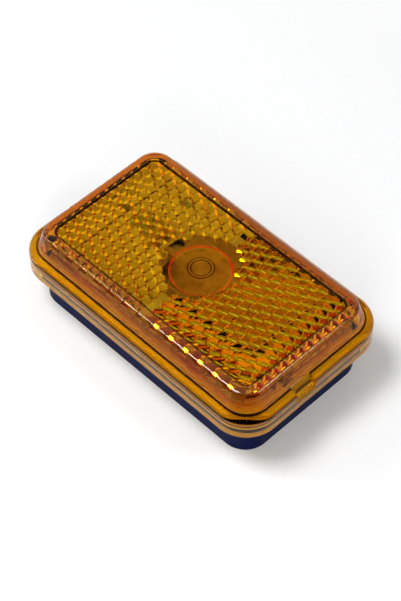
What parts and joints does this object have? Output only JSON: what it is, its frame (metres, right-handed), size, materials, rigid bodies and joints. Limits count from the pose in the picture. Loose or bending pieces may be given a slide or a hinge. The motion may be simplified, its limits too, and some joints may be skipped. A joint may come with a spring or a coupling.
{
  "type": "clearance lamp",
  "caption": "Low rectangular amber marker lamp: clip-on lens with a built-in reflex reflector over a dark moulded base that holds a festoon bulb.",
  "frame": {"origin": "middle of the back face that lies on the vehicle", "axes": "+X along the lamp, +Y across it, +Z away from the vehicle, out through the lens"},
  "size_m": [0.095, 0.0576, 0.0261],
  "materials": {
    "amber_lens": "clear amber polycarbonate, polished mould",
    "navy_base": "fine moulded satin, dark navy",
    "seal_rubber": "soft black rubber",
    "grommet_rubber": "soft black rubber",
    "bulb_glass": "clear blown glass",
    "nickel_cap": "nickel-plated brass",
    "filament_wire": "drawn tungsten coil",
    "contact_brass": "rolled spring brass",
    "plated_steel": "zinc-plated steel"
  },
  "bodies": {
    "root": {"lens": "amber_lens", "base": "navy_base", "lens_seal": "seal_rubber", "cable_grommet": "grommet_rubber", "bulb_glass": "bulb_glass", "bulb_cap_left": "nickel_cap", "bulb_cap_right": "nickel_cap", "filament": "filament_wire", "lead_wire_left": "filament_wire", "lead_wire_right": "filament_wire", "contact_left": "contact_brass", "contact_right": "contact_brass", "contact_rivets": "contact_brass", "terminal_bushes": "contact_brass", "terminal_screws": "plated_steel", "clamp_washers": "plated_steel"}
  },
  "joints": []
}
